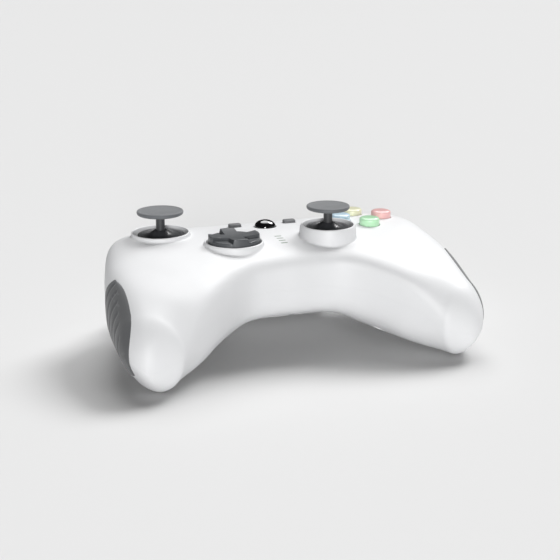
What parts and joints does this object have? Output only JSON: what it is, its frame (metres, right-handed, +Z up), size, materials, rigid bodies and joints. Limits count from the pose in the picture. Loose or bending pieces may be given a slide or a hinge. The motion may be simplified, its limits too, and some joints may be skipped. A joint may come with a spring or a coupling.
{
  "type": "wireless game controller",
  "caption": "Two-handed wireless game controller with thumb sticks, direction pad, coloured buttons, bumpers, triggers and a rear battery pack.",
  "frame": {"origin": "on the table, under the middle of the bounding box", "axes": "+X to the player's right, +Y away from the player, +Z up"},
  "size_m": [0.152, 0.1005, 0.0575],
  "materials": {
    "shell_white": "fine satin texture",
    "button_grey": "satin",
    "stick_grey": "fine grain",
    "charcoal": "satin",
    "dome_black": "polished",
    "grip_rubber": "ribbed, matt",
    "green_button": "pastel gloss",
    "red_button": "pastel gloss",
    "blue_button": "pastel gloss",
    "yellow_button": "pastel gloss",
    "light_window": "translucent",
    "silicone": "matt",
    "circuit": "solder mask",
    "steel": "plain",
    "cell": "printed sleeve, plain"
  },
  "bodies": {
    "case": {"top_shell": "shell_white", "bottom_shell": "shell_white", "left_grip_panel": "grip_rubber", "right_grip_panel": "grip_rubber", "pad_membrane": "silicone", "face_button_membrane": "silicone", "menu_button_membrane": "silicone", "light_guide": "light_window", "rear_bridge": "button_grey", "charge_socket": "steel", "main_board": "circuit", "radio_module": "steel", "left_stick_module": "charcoal", "left_trigger_pin": "steel", "left_rumble_motor": "steel", "right_stick_module": "charcoal", "right_trigger_pin": "steel", "right_rumble_motor": "steel", "case_screw_1": "steel", "case_screw_2": "steel", "case_screw_3": "steel", "case_screw_4": "steel", "case_screw_5": "steel"},
    "left_stick_press": {"left_stick_seat": "steel"},
    "left_stick_gimbal": {"left_stick_rocker": "silicone"},
    "left_stick": {"left_stick_lever": "charcoal", "left_stick_skirt": "charcoal", "left_thumb_cap": "stick_grey"},
    "right_stick_press": {"right_stick_seat": "steel"},
    "right_stick_gimbal": {"right_stick_rocker": "silicone"},
    "right_stick": {"right_stick_lever": "charcoal", "right_stick_skirt": "charcoal", "right_thumb_cap": "stick_grey"},
    "pad_gimbal": {"pad_rocker_ring": "button_grey"},
    "pad": {"direction_pad": "charcoal"},
    "face_button_near": {"face_button_near": "green_button"},
    "face_button_right": {"face_button_right": "red_button"},
    "face_button_left": {"face_button_left": "blue_button"},
    "face_button_far": {"face_button_far": "yellow_button"},
    "guide_button": {"guide_button": "dome_black"},
    "back_button": {"back_button": "button_grey"},
    "start_button": {"start_button": "button_grey"},
    "sync_button": {"sync_button": "shell_white"},
    "left_bumper": {"left_bumper": "shell_white"},
    "left_trigger": {"left_trigger": "shell_white"},
    "right_bumper": {"right_bumper": "shell_white"},
    "right_trigger": {"right_trigger": "shell_white"},
    "battery_pack": {"battery_pack": "shell_white", "battery_cell_front": "cell", "battery_cell_rear": "cell", "battery_contact_left": "steel", "battery_contact_right": "steel"},
    "battery_latch": {"battery_latch": "button_grey"},
    "left_rumble_weight": {"left_rumble_weight": "steel"},
    "right_rumble_weight": {"right_rumble_weight": "steel"}
  },
  "joints": [
    {"name": "left_stick_click", "type": "slide", "parent": "case", "child": "left_stick_press", "axis": [0, 0, -1], "range_m": [0, 0.0005], "stiffness_N_per_m": 2500, "springref_m": -0.0006},
    {"name": "left_stick_forward_back", "type": "hinge", "parent": "left_stick_press", "child": "left_stick_gimbal", "pos_m": [-0.0462, 0.0169, 0.0405], "axis": [1, 0, 0], "range_deg": [-15, 15], "stiffness_Nm_per_rad": 0.03},
    {"name": "left_stick_left_right", "type": "hinge", "parent": "left_stick_gimbal", "child": "left_stick", "pos_m": [-0.0462, 0.0169, 0.0405], "axis": [0, 1, 0], "range_deg": [-15, 15], "stiffness_Nm_per_rad": 0.03},
    {"name": "right_stick_click", "type": "slide", "parent": "case", "child": "right_stick_press", "axis": [0, 0, -1], "range_m": [0, 0.0005], "stiffness_N_per_m": 2500, "springref_m": -0.0006},
    {"name": "right_stick_forward_back", "type": "hinge", "parent": "right_stick_press", "child": "right_stick_gimbal", "pos_m": [0.0205, -0.0036, 0.0432], "axis": [1, 0, 0], "range_deg": [-15, 15], "stiffness_Nm_per_rad": 0.03},
    {"name": "right_stick_left_right", "type": "hinge", "parent": "right_stick_gimbal", "child": "right_stick", "pos_m": [0.0205, -0.0036, 0.0432], "axis": [0, 1, 0], "range_deg": [-15, 15], "stiffness_Nm_per_rad": 0.03},
    {"name": "pad_forward_back", "type": "hinge", "parent": "case", "child": "pad_gimbal", "pos_m": [-0.0205, -0.0036, 0.0411], "axis": [1, 0, 0], "range_deg": [-4.5, 4.5], "stiffness_Nm_per_rad": 0.3},
    {"name": "pad_left_right", "type": "hinge", "parent": "pad_gimbal", "child": "pad", "pos_m": [-0.0205, -0.0036, 0.0411], "axis": [0, 1, 0], "range_deg": [-4.5, 4.5], "stiffness_Nm_per_rad": 0.3},
    {"name": "face_button_near_press", "type": "slide", "parent": "case", "child": "face_button_near", "axis": [0, 0, -1], "range_m": [0, 0.0012], "stiffness_N_per_m": 500, "springref_m": -0.0008},
    {"name": "face_button_right_press", "type": "slide", "parent": "case", "child": "face_button_right", "axis": [0, 0, -1], "range_m": [0, 0.0012], "stiffness_N_per_m": 500, "springref_m": -0.0008},
    {"name": "face_button_left_press", "type": "slide", "parent": "case", "child": "face_button_left", "axis": [0, 0, -1], "range_m": [0, 0.0012], "stiffness_N_per_m": 500, "springref_m": -0.0008},
    {"name": "face_button_far_press", "type": "slide", "parent": "case", "child": "face_button_far", "axis": [0, 0, -1], "range_m": [0, 0.0012], "stiffness_N_per_m": 500, "springref_m": -0.0008},
    {"name": "guide_button_press", "type": "slide", "parent": "case", "child": "guide_button", "axis": [0, 0, -1], "range_m": [0, 0.0006], "stiffness_N_per_m": 900, "springref_m": -0.0006},
    {"name": "back_button_press", "type": "slide", "parent": "case", "child": "back_button", "axis": [0, 0, -1], "range_m": [0, 0.0007], "stiffness_N_per_m": 800, "springref_m": -0.0006},
    {"name": "start_button_press", "type": "slide", "parent": "case", "child": "start_button", "axis": [0, 0, -1], "range_m": [0, 0.0007], "stiffness_N_per_m": 800, "springref_m": -0.0006},
    {"name": "sync_button_press", "type": "slide", "parent": "case", "child": "sync_button", "axis": [0, -1, 0], "range_m": [0, 0.0004], "stiffness_N_per_m": 1200, "springref_m": -0.0004},
    {"name": "left_bumper_press", "type": "slide", "parent": "case", "child": "left_bumper", "axis": [0, -1, 0], "range_m": [0, 0.0008], "stiffness_N_per_m": 1500, "springref_m": -0.0006},
    {"name": "left_trigger_pull", "type": "hinge", "parent": "case", "child": "left_trigger", "pos_m": [-0.04225, 0.0326, 0.0274], "axis": [-1, 0, 0], "range_deg": [0, 18], "stiffness_Nm_per_rad": 0.12, "springref_deg": -20.05},
    {"name": "right_bumper_press", "type": "slide", "parent": "case", "child": "right_bumper", "axis": [0, -1, 0], "range_m": [0, 0.0008], "stiffness_N_per_m": 1500, "springref_m": -0.0006},
    {"name": "right_trigger_pull", "type": "hinge", "parent": "case", "child": "right_trigger", "pos_m": [0.04225, 0.0326, 0.0274], "axis": [-1, 0, 0], "range_deg": [0, 18], "stiffness_Nm_per_rad": 0.12, "springref_deg": -20.05},
    {"name": "battery_pack_removal", "type": "slide", "parent": "case", "child": "battery_pack", "axis": [0, 0, -1], "range_m": [0, 0.03]},
    {"name": "battery_latch_press", "type": "slide", "parent": "battery_pack", "child": "battery_latch", "axis": [0, 0, -1], "range_m": [0, 0.0012], "stiffness_N_per_m": 900, "springref_m": -0.001},
    {"name": "left_rumble_spin", "type": "hinge", "parent": "case", "child": "left_rumble_weight", "pos_m": [-0.058, -0.02, 0.0194], "axis": [0, 1, 0], "continuous": true},
    {"name": "right_rumble_spin", "type": "hinge", "parent": "case", "child": "right_rumble_weight", "pos_m": [0.058, -0.02, 0.0194], "axis": [0, 1, 0], "continuous": true}
  ]
}
